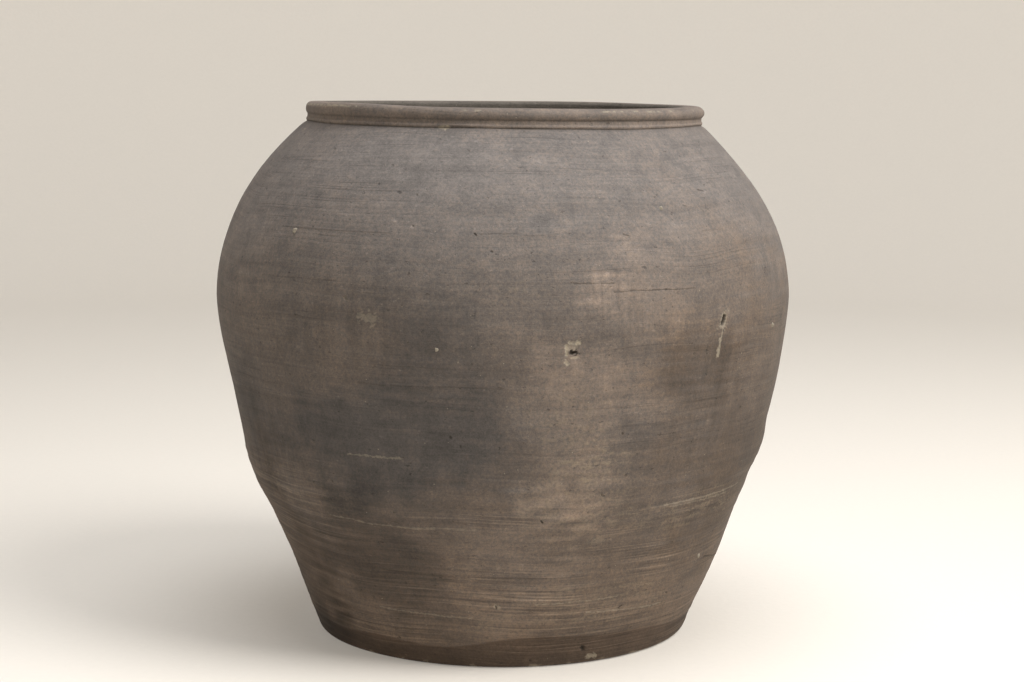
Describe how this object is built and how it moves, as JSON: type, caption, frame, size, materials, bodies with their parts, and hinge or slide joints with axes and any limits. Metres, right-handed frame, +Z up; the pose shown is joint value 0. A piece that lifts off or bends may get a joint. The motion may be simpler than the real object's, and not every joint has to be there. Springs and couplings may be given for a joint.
{
  "type": "clay pot",
  "caption": "Wide-bellied handmade floor jar of matte grey-brown smoke-fired clay, tapering to a flat foot, with a short collared mouth.",
  "frame": {"origin": "centre of the flat face that the jar stands on", "axes": "+Z up along the jar's axis, from the foot to the mouth; -Y is the side with the two lime pits, +X is on the right seen from there"},
  "size_m": [0.459, 0.459, 0.421],
  "materials": {
    "foot_clay": "matte",
    "wall_clay": "matte",
    "rim_clay": "matte",
    "inner_clay": "matte",
    "lime": "matte"
  },
  "bodies": {
    "root": {"base_dish": "foot_clay", "corner_coil": "inner_clay", "foot_course": "wall_clay", "lower_wall_course": "wall_clay", "lower_belly_course": "wall_clay", "upper_belly_course": "wall_clay", "lower_shoulder_course": "wall_clay", "upper_shoulder_course": "wall_clay", "rim_collar": "rim_clay", "lime_grains": "lime"}
  },
  "joints": []
}
